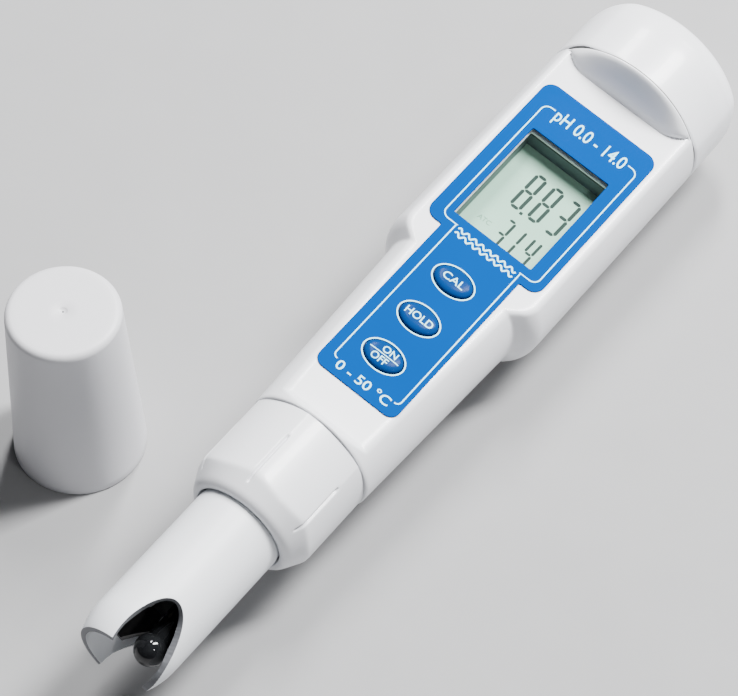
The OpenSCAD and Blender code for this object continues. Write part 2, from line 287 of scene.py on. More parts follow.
def circuit_board(name):
    """Green solder mask over copper tracks."""
    material, tree, shader = new_material(name)
    where = tree.nodes.new("ShaderNodeTexCoord")
    tracks = tree.nodes.new("ShaderNodeTexBrick")
    tracks.inputs["Scale"].default_value = 260
    tracks.inputs["Color1"].default_value = (0.012, 0.16, 0.055, 1)
    tracks.inputs["Color2"].default_value = (0.016, 0.19, 0.07, 1)
    tracks.inputs["Mortar"].default_value = (0.03, 0.28, 0.11, 1)
    tracks.inputs["Mortar Size"].default_value = 0.03
    tree.links.new(where.outputs["Object"], tracks.inputs["Vector"])
    tree.links.new(tracks.outputs["Color"], shader.inputs["Base Color"])
    tree.links.new(spread(tree, noise(tree, 900), 0.3, 0.5), shader.inputs["Roughness"])
    bumped(tree, shader, tracks.outputs["Fac"], 0.3, 0.03)
    return material


def sponge_foam(name):
    material, tree, shader = new_material(name)
    where = tree.nodes.new("ShaderNodeTexCoord")
    cells = tree.nodes.new("ShaderNodeTexVoronoi")
    cells.inputs["Scale"].default_value = 1400
    tree.links.new(where.outputs["Object"], cells.inputs["Vector"])
    tree.links.new(mixed(tree, cells.outputs["Distance"], (0.35, 0.29, 0.12), (0.82, 0.74, 0.46)),
                   shader.inputs["Base Color"])
    shader.inputs["Roughness"].default_value = 0.9
    bumped(tree, shader, cells.outputs["Distance"], 0.8, 0.3)
    return material


def liquid_crystal(name):
    """The display's grey-green ground, a little uneven, under a matte polariser."""
    material, tree, shader = new_material(name)
    tree.links.new(mixed(tree, noise(tree, 60), (0.31, 0.53, 0.41), (0.35, 0.58, 0.45)),
                   shader.inputs["Base Color"])
    tree.links.new(spread(tree, noise(tree, 200), 0.25, 0.35), shader.inputs["Roughness"])
    bumped(tree, shader, noise(tree, 3500), 0.04, 0.02)
    shader.inputs["Specular IOR Level"].default_value = 0.03
    return material


WHITE = plastic("white_abs", (0.80, 0.81, 0.84), 0.32, coat=0.15)
TUBE_WHITE = plastic("tube_abs", (0.78, 0.80, 0.83), 0.40)
# The probe tube's cut rim is painted dark grey: painted shade, for the rim that faces away from the lamps.
TUBE_RIM_PAINTED_SHADE = plastic("tube_rim_painted_shade", (0.17, 0.175, 0.19), 0.5)
CAP_WHITE = plastic("cap_pp", (0.63, 0.63, 0.655), 0.42, grain=0.7, bump=0.08)
BLUE_FILM = plastic("blue_film", (0.0, 0.047, 0.23), 0.45, grain=1.5, bump=0.04, tint=0.05, gloss=0.0)
BLUE_KEY = plastic("blue_key", (0.0, 0.036, 0.165), 0.22, bump=0.02, tint=0.12, gloss=0.03)
PRINT = plastic("pale_print", (0.36, 0.84, 0.94), 0.4, bump=0.03)
SEGMENT = plastic("lcd_segment", (0.035, 0.055, 0.048), 0.6, bump=0.02, gloss=0.0)
FAINT_SEGMENT = plastic("lcd_faint_segment", (0.20, 0.34, 0.26), 0.6, bump=0.02, gloss=0.0)
LCD = liquid_crystal("lcd_ground")
BEZEL = plastic("bezel_grey", (0.085, 0.115, 0.125), 0.5, bump=0.1)
LENS = see_through("window_clear", (0.02, 0.03, 0.03), 0.03)
RUBBER = plastic("black_rubber", (0.022, 0.022, 0.023), 0.6, grain=0.8, bump=0.15)
# The probe core's black resin is real; its black lining inside the tube's open end stands in for the shade deep in
# the tube: partly painted shade.
CORE_BLACK_AND_SHADE = plastic("potting_resin_and_painted_shade", (0.012, 0.012, 0.013), 0.3, grain=0.5, bump=0.1, coat=0.3)
GLASS = dark_glass("electrode_glass")
BLACK = plastic("black_nylon", (0.03, 0.03, 0.033), 0.5, bump=0.1)
NYLON = plastic("white_nylon", (0.78, 0.78, 0.75), 0.5, bump=0.1)
CERAMIC = plastic("porous_ceramic", (0.72, 0.68, 0.58), 0.8, grain=2.0, bump=0.3, tint=0.2)
CHIP = plastic("chip_ceramic", (0.45, 0.34, 0.22), 0.55, bump=0.1, tint=0.3)
SLEEVE = plastic("wire_sleeve", (0.45, 0.03, 0.02), 0.45, bump=0.05)
STEEL = brushed_metal("brushed_steel", (0.62, 0.62, 0.64), 0.3)
GOLD = brushed_metal("gold_plate", (0.92, 0.68, 0.26), 0.25)
SILVER = brushed_metal("silver_wire", (0.85, 0.85, 0.83), 0.2)
BOARD = circuit_board("board_green")
FOAM = sponge_foam("sponge_foam")


# ---- mesh helpers --------------------------------------------------------

def new_object(name, vertices, faces):
    mesh = bpy.data.meshes.new(name)
    mesh.from_pydata([tuple(v) for v in vertices], [], faces)
    mesh.validate()
    obj = bpy.data.objects.new(name, mesh)
    bpy.context.scene.collection.objects.link(obj)
    return obj


def apply_modifiers(obj):
    bpy.context.view_layer.update()
    graph = bpy.context.evaluated_depsgraph_get()
    mesh = bpy.data.meshes.new_from_object(obj.evaluated_get(graph))
    obj.modifiers.clear()
    obj.data = mesh


def cut_away(obj, *cutters):
    """Takes each cutter out of obj, and deletes the cutters."""
    for cutter in cutters:
        step = obj.modifiers.new("cut", "BOOLEAN")
        step.operation = "DIFFERENCE"
        step.solver = "EXACT"
        step.object = cutter
    apply_modifiers(obj)
    for cutter in cutters:
        bpy.data.objects.remove(cutter)
    return obj


def joined(obj, other):
    """Adds other's volume to obj, and deletes other."""
    step = obj.modifiers.new("join", "BOOLEAN")
    step.operation = "UNION"
    step.solver = "EXACT"
    step.object = other
    apply_modifiers(obj)
    bpy.data.objects.remove(other)
    return obj


def soften(obj, width, segments=3, angle=35):
    """Rounds the edges that are sharper than angle."""
    step = obj.modifiers.new("edge", "BEVEL")
    step.width = width
    step.segments = segments
    step.limit_method = "ANGLE"
    step.angle_limit = math.radians(angle)
    step.use_clamp_overlap = True
    apply_modifiers(obj)
    return obj


def settle(obj, body, material, replaces=(), pen=True, smooth=40):
    """Brings a finished piece into the row frame and gives it its body and material."""
    obj.data.transform(TO_ROW if pen else Matrix.Scale(MM, 4))
    for face in obj.data.polygons:
        face.use_smooth = True
    obj.data.set_sharp_from_angle(angle=math.radians(smooth))
    obj.data.materials.clear()
    obj.data.materials.append(material)
    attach(obj, body)
    if replaces:
        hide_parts(*replaces)
    return obj


def loft(name, rings, radius, around=180, closed=True):
    """A solid round the Y axis. rings are (y, base radius), radius(angle, y, base) gives the real one."""
    angles = [2 * math.pi * i / around for i in range(around)]
    vertices = []
    for y, base in rings:
        for a in angles:
            r = radius(a, y, base)
            vertices.append((r * math.sin(a), y, r * math.cos(a)))
    faces = []
    last = len(rings) - 1
    for k in range(last if closed else last + 1):
        upper = (k + 1) % len(rings)
        for i in range(around):
            j = (i + 1) % around
            faces.append((k * around + i, k * around + j, upper * around + j, upper * around + i))
    if closed:
        faces.append(tuple(reversed(range(around))))
        faces.append(tuple(last * around + i for i in range(around)))
    obj = new_object(name, vertices, faces)
    outward(obj)
    return obj


def outward(obj):
    mesh = bmesh.new()
    mesh.from_mesh(obj.data)
    bmesh.ops.recalc_face_normals(mesh, faces=mesh.faces)
    mesh.to_mesh(obj.data)
    mesh.free()


def plain_radius(angle, y, base):
    return base


def turned(name, rings, around=120):
    """A solid of revolution; rings are (y, radius) from one end to the other."""
    return loft(name, rings, plain_radius, around)


def turned_shell(name, rings, around=120):
    """A ring-shaped solid of revolution; rings go once round its closed profile."""
    return loft(name, rings, plain_radius, around, closed=False)


def prism(name, outline, low, high):
    """A flat outline in x and y, given height from low to high."""
    n = len(outline)
    vertices = [(x, y, low) for x, y in outline] + [(x, y, high) for x, y in outline]
    faces = [(i, (i + 1) % n, n + (i + 1) % n, n + i) for i in range(n)]
    faces += [tuple(reversed(range(n))), tuple(range(n, 2 * n))]
    obj = new_object(name, vertices, faces)
    outward(obj)
    return obj


def arc(cx, cy, r, start, end, n=8):
    """Points of an arc, with its angles in degrees."""
    points = []
    for i in range(n + 1):
        t = math.radians(start + (end - start) * i / n)
        points.append((cx + r * math.cos(t), cy + r * math.sin(t)))
    return points


def rounded_box(x0, y0, x1, y1, r, n=8):
    return (arc(x1 - r, y1 - r, r, 0, 90, n) + arc(x0 + r, y1 - r, r, 90, 180, n)
            + arc(x0 + r, y0 + r, r, 180, 270, n) + arc(x1 - r, y0 + r, r, 270, 360, n))


def oval(cx, cy, a, b, n=64):
    return [(cx + a * math.cos(2 * math.pi * i / n), cy + b * math.sin(2 * math.pi * i / n))
            for i in range(n)]


def smooth_min(a, b, k):
    h = min(max(0.5 + 0.5 * (b - a) / k, 0), 1)
    return b * (1 - h) + a * h - k * h * (1 - h)


def even(start, end, step):
    """Numbers from start to end, about step apart."""
    n = max(1, round(abs(end - start) / step))
    return [start + (end - start) * i / n for i in range(n + 1)]


# ---- housing -------------------------------------------------------------

def neck_profile():
    """(y, radius) from the foot of the housing to its wide part."""
    slope = math.radians(45)
    bend_x = BODY_R - NECK_ROUND + NECK_ROUND * math.cos(slope)
    bend_y = NECK_LOW + (bend_x - NECK_R)
    centre_y = bend_y + NECK_ROUND * math.sin(slope)
    fillet = 1.2
    reach = fillet * math.tan(slope / 2)
    rings = [(JOINT_LOW, FOOT_R - 0.35), (JOINT_LOW + 0.08, FOOT_R - 0.12), (JOINT_LOW + 0.3, FOOT_R)]
    rings += [(y, FOOT_R + (NECK_R - FOOT_R) * (y - JOINT_LOW) / (NECK_LOW - JOINT_LOW))
              for y in even(JOINT_LOW + 0.8, FLAT_LOW + 2, 0.3) + even(FLAT_LOW + 5, NECK_LOW - 4, 4)]
    rings += [(y, x) for x, y in arc(NECK_R + fillet, NECK_LOW - reach, fillet, 180, 135, 6)]
    rings += [(y, NECK_R + (y - NECK_LOW)) for y in even(NECK_LOW + reach, bend_y - 0.1, 0.3)]
    rings += [(y, x) for x, y in arc(BODY_R - NECK_ROUND, centre_y, NECK_ROUND, -45, 0, 10)]
    return rings


def housing_radius(angle, y, base):
    """The round housing, cut flat in front, with a slope at each end of the flat."""
    c = math.cos(angle)
    if c < 0.05:
        return base
    height = FACE_Z
    if y < FLAT_LOW:
        ramp = (FLAT_LOW - y) / (FLAT_LOW - JOINT_LOW - 0.6)
        height += (FOOT_R - FACE_Z) * min(ramp, 1.2) ** 1.3
    front = height / c
    if y > FLAT_HIGH:
        front = max(front, shoulder_radius(angle, y))
    return smooth_min(base, front, 1.1)


def shoulder_radius(angle, y):
    """The slope from a straight foot on the flat face up to the round rim under the battery cap."""
    s, c = math.sin(angle), math.cos(angle)
    # the foot is straight as far as that to each side, and then curves up
    straight, edge = 9.5, 15.5
    corner_width, corner_rise = 5.6, 3.2
    across = min(FACE_Z * abs(s) / c, edge)
    foot = FLAT_HIGH + corner_rise * (max(0.0, across - straight) / corner_width) ** 2
    t = min(max((y - foot) / (JOINT_TOP - foot), 0.0), 1.0)
    rise = 1 - (1 - t) ** 1.5
    base = FACE_Z * (1 - rise)
    shape = c * c + (rise * s) ** 2
    square = (c * base) ** 2 - shape * (base ** 2 - (rise * BODY_R) ** 2)
    return (c * base + math.sqrt(max(0.0, square))) / shape


def make_housing():
    rings = neck_profile()
    rings += [(y, BODY_R) for y in even(rings[-1][0] + 1, FLAT_HIGH - 2, 4)]
    rings += [(y, BODY_R) for y in even(FLAT_HIGH - 0.8, JOINT_TOP - 0.3, 0.1)]
    rings += [(JOINT_TOP - 0.2, BODY_R - 0.06), (JOINT_TOP - 0.05, BODY_R - 0.2), (JOINT_TOP, BODY_R - 0.45)]
    housing = loft("housing_shell", rings, housing_radius, 240)
    spigot = turned("spigot", thread_rings(HOUSING_LOW.y, JOINT_LOW + 1, COLLAR_R - 2.5))
    joined(housing, spigot)
    roof = FACE_Z - WALL

    def bore_radius(angle, y, base):
        c = math.cos(angle)
        return min(base, roof / c) if c > 0.05 else base

    top_bore = BODY_R - WALL
    bore = loft("bore", [(JOINT_LOW + 2, BORE_LOW_R), (NECK_LOW - 2, BORE_LOW_R), (STEP_Y + 1, top_bore),
                         (JOINT_TOP + 1, top_bore)], bore_radius, 120)
    passage = turned("passage", [(HOUSING_LOW.y - 1, SPIGOT_BORE), (JOINT_LOW + 3, SPIGOT_BORE)])
    window = prism("window", rounded_box(-WINDOW_W, WINDOW_LOW, WINDOW_W, WINDOW_TOP, 0.3, 2), 2, 14)
    pocket = prism("pocket", rounded_box(LENS_LOW.x - 0.05, LENS_LOW.y - 0.05, LENS_HIGH.x + 0.05,
                                         LENS_HIGH.y + 0.05, 0.4, 2), LENS_LOW.z - 0.02, 14)
    keys = [prism("key_hole", oval(0, y, KEY_A + 0.2, KEY_B + 0.2), 5, 14) for y in KEY_YS.values()]
    cut_away(housing, bore, passage, window, pocket, *keys)
    settle(housing, "root", WHITE, ["housing"])


def thread_rings(low, high, r, pitch=1.6, depth=0.35):
    """A round spigot with rounded thread ridges."""
    rings = [(low, r - 0.8), (low + 0.4, r - 0.3)]
    y = low + 1.2
    while y < high - 3:
        rings += [(y, r - depth), (y + 0.35 * pitch, r), (y + 0.6 * pitch, r)]
        y += pitch
    return rings + [(y, r - depth), (high, r - depth)]


# ---- battery cap ---------------------------------------------------------

def make_battery_cap():
    front = BODY_R - 1.7
    crease = math.radians(56)
    back = (BODY_R ** 2 - front ** 2) / (2 * (front - BODY_R * math.cos(crease)))
    panel_turn = math.radians(12)

    def cap_radius(angle, y, base):
        a = angle - panel_turn
        panel = -back * math.cos(a) + math.sqrt((front + back) ** 2 - (back * math.sin(a)) ** 2)
        return smooth_min(base, base * panel / BODY_R, 0.15)

    low = CAP_LOW_RIM
    round_r = 6.5
    rings = [(low, BODY_R - 0.5), (low + 0.06, BODY_R - 0.2), (low + 0.3, BODY_R - 0.02)]
    rings += [(y, BODY_R - 0.2 * (y - low) / (PEN_TOP - low))
              for y in even(low + 0.8, PEN_TOP - round_r - 1, 2)]
    bend = [(y, x) for x, y in arc(BODY_R - 0.3 - round_r, PEN_TOP - round_r, round_r, 0, 86, 18)]
    rings += bend + [(PEN_TOP - 0.005, bend[-1][1] - 3), (PEN_TOP, 1.5)]
    cap = loft("battery_cap_shell", rings, cap_radius, 240)
    inside = [(low - 1, BODY_R - 3.4), (PEN_TOP - 6.5, BODY_R - 3.4), (PEN_TOP - 5.8, BODY_R - 4.5)]
    hollow = turned("hollow", inside)
    cut_away(cap, hollow)
    roof = FACE_Z - WALL - 0.3

    def skirt_radius(angle, y, base):
        c = math.cos(angle)
        return smooth_min(base, roof / c, 0.6) if c > 0.05 else base

    r = BODY_R - WALL - 0.3
    skirt = loft("skirt", [(CAP_LOW.y, r - 0.5), (CAP_LOW.y + 0.5, r), (low + 1, r)], skirt_radius, 180)
    inside = turned("inside", [(CAP_LOW.y - 1, BODY_R - 3.6), (low + 2, BODY_R - 3.6)])
    cut_away(skirt, inside)
    joined(cap, skirt)
    settle(cap, "battery_cap", WHITE, ["battery_cap"])

    def seal_radius(angle, y, base):
        return max(cap_radius(angle, y, base), base - 0.45)

    seal_r, seal_bore_r = BODY_R - 0.35, BODY_R - WALL - 0.2
    seal = loft("cap_seal", [(JOINT_TOP + 0.03, seal_r), (low - 0.03, seal_r)], seal_radius, 180)
    bore = turned("seal_bore", [(JOINT_TOP - 1, seal_bore_r), (low + 1, seal_bore_r)])
    cut_away(seal, bore)
    settle(seal, "battery_cap", RUBBER, ["battery_cap_gasket"])


# ---- collar and probe ----------------------------------------------------

def make_collar():
    middle = COLLAR_R - 0.45
    back = (COLLAR_R ** 2 - middle ** 2) / (2 * (middle - COLLAR_R * math.cos(math.radians(30))))
    first = math.radians(20)
    groove_w, groove_d = math.radians(1.1), 0.5

    def collar_radius(angle, y, base):
        sector = (angle - first + math.radians(30)) % math.radians(60) - math.radians(30)
        facet = -back * math.cos(sector) + math.sqrt((middle + back) ** 2 - (back * math.sin(sector)) ** 2)
        near = math.radians(30) - abs(sector)
        r = smooth_min(base, facet, 0.25)
        ends = smooth_step(y, 2.8, 3.6) * (1 - smooth_step(y, 14.9, 15.5))
        return r - groove_d * ends * math.exp(-(near / groove_w) ** 2)

    rings = [(0.05, 10.3), (0.12, 10.75), (0.35, 11.15), (0.75, 11.55)]
    rings += [(y, 11.85 + (COLLAR_R - 0.2 - 11.85) * (y - 1.2) / 3.6) for y in even(1.2, 4.5, 0.4)]
    rings += [(4.8, COLLAR_R - 0.22), (5.2, COLLAR_R - 0.1), (5.6, COLLAR_R)]
    rings += [(y, COLLAR_R + 0.1) for y in even(6, COLLAR_LEN - 1, 0.5)]
    rings += [(COLLAR_LEN - 0.25, COLLAR_R + 0.1), (COLLAR_LEN - 0.06, COLLAR_R + 0.04)]
    rings += [(COLLAR_LEN, COLLAR_R - 0.1)]
    collar = loft("collar_shell", rings, collar_radius, 720)
    bore_r = COLLAR_R - 2.4 + 0.35
    bore = turned("bore", [(3.1, bore_r), (COLLAR_LEN + 1, bore_r)])
    hole_r = TUBE_R + 0.28
    hole = turned("hole", [(-1, TUBE_R + 1.0), (0.0, TUBE_R + 0.5), (0.4, hole_r), (4, hole_r)])
    cut_away(collar, bore, hole)
    settle(collar, "collar", WHITE, ["collar_nut"], smooth=30)


def smooth_step(x, low, high):
    t = min(max((x - low) / (high - low), 0), 1)
    return t * t * (3 - 2 * t)


def wedge(outline, foot, flare):
    """A cutter whose sides run straight out from the pen's axis; one side flares towards the end."""
    lean = math.tan(math.radians(NOTCH_LEAN))
    slopes = []
    for x, y in outline:
        turn = math.atan2(x - lean * y, math.sqrt(TUBE_R ** 2 - x ** 2))
        turn += math.radians(flare) * math.exp(-max(y, 0) / FLARE_FADE) * smooth_step(x, 1, 5)
        slopes.append(math.tan(turn))
    n = len(outline)
    vertices = [(z * slope, foot + y, z) for z in (1, 14) for slope, (x, y) in zip(slopes, outline)]
    faces = [(i, (i + 1) % n, n + (i + 1) % n, n + i) for i in range(n)]
    faces += [tuple(reversed(range(n))), tuple(range(n, 2 * n))]
    obj = new_object("wedge", vertices, faces)
    outward(obj)
    return obj


def make_tube():
    tip = TUBE_LOW.y
    inner = TUBE_R - TUBE_WALL
    hub = TUBE_R - 0.2
    flange = TUBE_HIGH.x

    def narrowed(y, inset):
        beyond = max(0, -TUBE_STRAIGHT - y)
        return TUBE_R - TUBE_CURVE + math.sqrt((TUBE_CURVE - inset) ** 2 - beyond ** 2)

    curve = even(tip, -TUBE_STRAIGHT, 0.7)
    outside = [(y, narrowed(y, 0)) for y in curve + even(-TUBE_STRAIGHT + 1.5, -0.5, 2)]
    outside += [(0, TUBE_R), (0.2, hub), (3.2, hub), (3.2, flange), (6.2, flange)]
    outside += [(6.2, hub), (15.6, hub), (16, hub - 0.4)]
    thinning = TUBE_WALL - RIM_WALL
    bore = [(16, inner), (6, inner), (-10, inner)]
    bore += [(y, narrowed(y, TUBE_WALL - thinning * smooth_step(-y, TUBE_STRAIGHT, 33)))
             for y in reversed(curve)]
    tube = turned_shell("probe_fork", outside + bore, 144)
    cutters = []
    for turn, half, flare in NOTCHES:
        arch = wedge(oval(0, 0, half, NOTCH_DEPTH, 192), tip, flare)
        arch.data.transform(Matrix.Rotation(math.radians(turn), 4, "Y"))
        cutters.append(arch)
    cut_away(tube, *cutters)
    soften(tube, 0.4, 4, 40)
    # the cut rim's faces take the dark grey of painted shade
    rim = [face for face in tube.data.polygons if on_painted_shade_rim(face)]
    settle(tube, "probe", TUBE_WHITE, ["probe_tube"])
    tube.data.materials.append(TUBE_RIM_PAINTED_SHADE)
    for face in rim:
        face.material_index = 1


def on_painted_shade_rim(face):
    """True on the cut edge of the probe tube's open end, clear of both its round walls: the faces that get the
    painted shade.
    """
    x, y, z = face.center
    beyond = max(0, -TUBE_STRAIGHT - y)
    outer = TUBE_R - TUBE_CURVE + math.sqrt(TUBE_CURVE ** 2 - beyond ** 2)
    depth = outer - math.hypot(x, z)
    across = abs(face.normal.x * x + face.normal.z * z) / math.hypot(x, z)
    return y < -15 and 0.12 < depth < TUBE_WALL - 0.1 and across < 0.8


def make_electrode():
    """Stem and bulb as one blown piece of glass."""
    neck = 0.9
    rings = [(10.8, STEM_R - 0.1), (10, STEM_R)]
    rings += [(y, STEM_R) for y in even(8, BULB_Y + BULB_R + neck + 2, 2)]
    join = math.degrees(math.asin(min(0.999, (STEM_R - 0.25) / BULB_R)))
    joint_y = BULB_Y + BULB_R * math.cos(math.radians(join))
    rings += [(joint_y + 1.8, STEM_R), (joint_y + 1.0, STEM_R - 0.08), (joint_y + 0.4, STEM_R - 0.2)]
    for i in range(25):
        t = math.radians(join + (179 - join) * i / 24)
        rings.append((BULB_Y + BULB_R * math.cos(t), BULB_R * math.sin(t)))
    glass = turned("glass_electrode", rings, 96)
    glass.data.transform(Matrix.Translation((ELECTRODE_X, 0, 0)))
    settle(glass, "probe", GLASS, ["glass_stem", "glass_bulb"])


# ---- tip cap -------------------------------------------------------------

def make_tip_cap():
    height = TIP_HIGH.z - TIP_LOW.z
    mouth_r = (TIP_HIGH.x - TIP_LOW.x) / 2
    end_r = 11.2
    skin = 1.3
    bend = 1.4

    def outer(h):
        return mouth_r + (end_r - mouth_r) * (h / (height - bend))

    rings = [(0, mouth_r - skin + 0.25), (0, mouth_r - 0.35), (0.1, mouth_r - 0.12), (0.35, mouth_r)]
    rings += [(h, outer(h)) for h in even(2, height - bend - 1, 2)]
    rings += [(h, r) for r, h in arc(end_r - bend, height - bend, bend, 2, 88, 10)]
    rings += [(height, end_r - bend - 1), (height, 3), (height, 1.0)]
    rings += [(height - 0.05, 0.85), (height - 0.28, 0.6), (height - 0.3, 0.2)]
    rings += [(height - 1.5, 0.2), (height - 1.5, end_r - skin - 1)]
    rings += [(height - 1.8, end_r - skin - 0.3), (height - 2.6, outer(height - 2.6) - skin)]
    rings += [(h, outer(h) - skin) for h in even(height - 5, 3, 4)]
    rings += [(0.3, mouth_r - skin + 0.02)]
    cap = turned_shell("tip_cap_shell", rings, 144)
    middle = (TIP_LOW + TIP_HIGH) / 2
    upright = Matrix.Rotation(math.radians(90), 4, "X")
    cap.data.transform(Matrix.Translation((middle.x, middle.y, TIP_LOW.z)) @ upright)
    outward(cap)
    settle(cap, "tip_cap", CAP_WHITE, ["tip_cap"], pen=False)


# ---- front panel ---------------------------------------------------------

def film_outline(inset, r_wide, r_narrow, r_inner):
    """The T of the film, drawn inwards by inset, anticlockwise from the low right corner."""
    wide, narrow = FILM_WIDE - inset, FILM_NARROW - inset
    low, step, top = FILM_LOW.y + inset, STEP_Y + inset, FILM_HIGH.y - inset
    right = arc(narrow - r_narrow, low + r_narrow, r_narrow, -90, 0)
    right += arc(narrow + r_inner, step - r_inner, r_inner, 180, 90, 4)
    right += arc(wide - r_wide, step + r_wide, r_wide, -90, 0)
    right += arc(wide - r_wide, top - r_wide, r_wide, 0, 90)
    return right + [(-x, y) for x, y in reversed(right)]


def make_film():
    film = prism("face_film", film_outline(0, 2.6, 2.2, 0.3), FACE_Z + 0.01, FILM_Z)
    holes = [prism("hole", oval(0, y, KEY_A + 0.2, KEY_B + 0.2), 0, 20) for y in KEY_YS.values()]
    window = prism("hole", rounded_box(-WINDOW_W, WINDOW_LOW, WINDOW_W, WINDOW_TOP, 0.35, 4), 0, 20)
    cut_away(film, window, *holes)
    soften(film, 0.07, 2, 60)
    settle(film, "root", BLUE_FILM, ["face_overlay"], smooth=20)


def ribbon(points, width, closed=False):
    """A flat band of that width along a line of points, as vertices and faces."""
    vertices, faces = [], []
    n = len(points)
    for i, (x, y) in enumerate(points):
        before = points[i - 1] if i or closed else (x, y)
        after = points[(i + 1) % n] if i < n - 1 or closed else (x, y)
        a, b = (x - before[0], y - before[1]), (after[0] - x, after[1] - y)
        la, lb = math.hypot(*a) or 1, math.hypot(*b) or 1
        tx, ty = a[0] / la + b[0] / lb, a[1] / la + b[1] / lb
        length = math.hypot(tx, ty) or 1
        tx, ty = tx / length, ty / length
        grow = 1 / max(0.5, (tx * b[0] / lb + ty * b[1] / lb) if b != (0, 0) else 1)
        half = width / 2 * grow
        vertices += [(x - ty * half, y + tx * half), (x + ty * half, y - tx * half)]
    for i in range(n if closed else n - 1):
        j = (i + 1) % n
        faces.append((2 * i, 2 * i + 1, 2 * j + 1, 2 * j))
    return vertices, faces


def printed(name, flat, body="root", level=None, thickness=0.03, material=None):
    """Turns flat shapes, a list of (vertices, faces), into a thin raised print on a surface.
    level(x, y) is the height of the surface."""
    level = level or (lambda x, y: FILM_Z)
    vertices, faces = [], []
    for points, polygons in flat:
        start = len(vertices)
        vertices += points
        faces += [tuple(start + i for i in f) for f in polygons]
    obj = new_object(name, [(x, y, level(x, y) + 0.004) for x, y in vertices], faces)
    outward(obj)
    if sum(f.normal.z for f in obj.data.polygons) < 0:
        obj.data.flip_normals()
    thick = obj.modifiers.new("thick", "SOLIDIFY")
    thick.thickness = thickness
    thick.offset = 1
    apply_modifiers(obj)
    settle(obj, body, material or PRINT)
    return obj


def lettering(text, x, y, height, width=None, bold=0.0, split=0.35):
    """The outlines of a line of plain letters centred on x and y, as flat vertices and faces."""
    curve = bpy.data.curves.new("letters", "FONT")
    curve.body = text
    curve.align_x, curve.align_y = "CENTER", "CENTER"
    curve.size = height
    curve.offset = bold
    curve.fill_mode = "FRONT"
    curve.resolution_u = 6
    obj = bpy.data.objects.new("letters", curve)
    bpy.context.scene.collection.objects.link(obj)
    apply = bpy.context.evaluated_depsgraph_get()
    bpy.context.view_layer.update()
    mesh = bpy.data.meshes.new_from_object(obj.evaluated_get(apply))
    bpy.data.objects.remove(obj)
    work = bmesh.new()
    work.from_mesh(mesh)
    bmesh.ops.triangulate(work, faces=work.faces)
    bmesh.ops.remove_doubles(work, verts=work.verts, dist=0.001)
    long_edges = [e for e in work.edges if e.calc_length() > split]
    bmesh.ops.subdivide_edges(work, edges=long_edges, cuts=1)
    bmesh.ops.triangulate(work, faces=work.faces)
    work.verts.index_update()
    xs = [v.co.x for v in work.verts]
    ys = [v.co.y for v in work.verts]
    cx, cy = (min(xs) + max(xs)) / 2, (min(ys) + max(ys)) / 2
    scale = width / (max(xs) - min(xs)) if width else 1
    vertices = [(x + (v.co.x - cx) * scale, y + (v.co.y - cy)) for v in work.verts]
    faces = [tuple(v.index for v in f.verts) for f in work.faces]
    work.free()
    return vertices, faces


# the print sits a little to the right of the panel's middle
PRINT_X = 0.6
TITLE_HALF = 8.7
FOOT_HALF = 6.4


def make_border():
    """The pale line round the panel, open at its title, below the window and at its foot."""
    line = 0.27
    wide, narrow = FILM_WIDE - 2.3, FILM_NARROW - 1.75
    top, step, low = FILM_HIGH.y - 5.2, STEP_Y + 1.9, FILM_LOW.y + 3.3
    corner = 1.6
    flat = []
    for side in (-1, 1):
        upper = [(TITLE_HALF + 0.6, top)] + arc(wide - corner, top - corner, corner, 90, 0, 6)
        upper += arc(wide - corner, step + corner, corner, 0, -90, 6) + [(narrow - 0.1, step)]
        upper += [(narrow, step - 0.1)] + arc(narrow - 1.0, low + 1.0, 1.0, 0, -90, 6)
        upper += [(FOOT_HALF + 0.6, low)]
        flat.append(ribbon([(PRINT_X + side * x, y) for x, y in upper], line))
    printed("border_line", flat)


def make_legends():
    title = lettering("pH 0.0 - 14.0", PRINT_X, FILM_HIGH.y - 6.1, 4.5, width=2 * TITLE_HALF, bold=0.03)
    printed("title_legend", [title])
    foot = lettering("0 - 50 °C", PRINT_X, FILM_LOW.y + 2.6, 3.0, width=2 * FOOT_HALF, bold=0.02)
    printed("foot_legend", [foot])
    waves = []
    for row in (0.6, -0.6):
        points = [(PRINT_X - 7.2 + 0.1 * i, STEP_Y + 0.8 + row + 0.4 * math.sin(i * math.pi / 9))
                  for i in range(145)]
        waves.append(ribbon(points, 0.36))
    printed("water_waves", waves)


# ---- display -------------------------------------------------------------

SEGMENTS = {"0": "abcdef", "1": "bc", "2": "abged", "3": "abgcd", "4": "fgbc", "5": "afgcd",
            "6": "afgedc", "7": "abc", "8": "abcdefg", "9": "abcdfg"}


def segment_digit(digit, x, y, w, h, bar, slant=0.02):
    """One digit of seven bars, as flat shapes."""
    gap = 0.1
    flat = []
    ends = {"a": ((0, h), (w, h)), "b": ((w, h / 2), (w, h)), "c": ((w, 0), (w, h / 2)),
            "d": ((0, 0), (w, 0)), "e": ((0, 0), (0, h / 2)), "f": ((0, h / 2), (0, h)),
            "g": ((0, h / 2), (w, h / 2))}
    for name in SEGMENTS[digit]:
        (x0, y0), (x1, y1) = ends[name]
        length = math.hypot(x1 - x0, y1 - y0)
        ux, uy = (x1 - x0) / length, (y1 - y0) / length
        px, py = -uy, ux
        s0, s1 = gap, length - gap
        shape = [(s0, 0), (s0 + bar, bar), (s1 - bar, bar), (s1, 0), (s1 - bar, -bar), (s0 + bar, -bar)]
        points = [(x0 + ux * s + px * o, y0 + uy * s + py * o) for s, o in shape]
        flat.append(([(x + a + slant * b, y + b) for a, b in points], [tuple(range(6))]))
    return flat


READING_Y = WINDOW_LOW + 12.7


def dot_shape(x, y, half):
    shape = rounded_box(x - half, y - half, x + half, y + half, half / 2, 3)
    return shape, [tuple(range(len(shape)))]


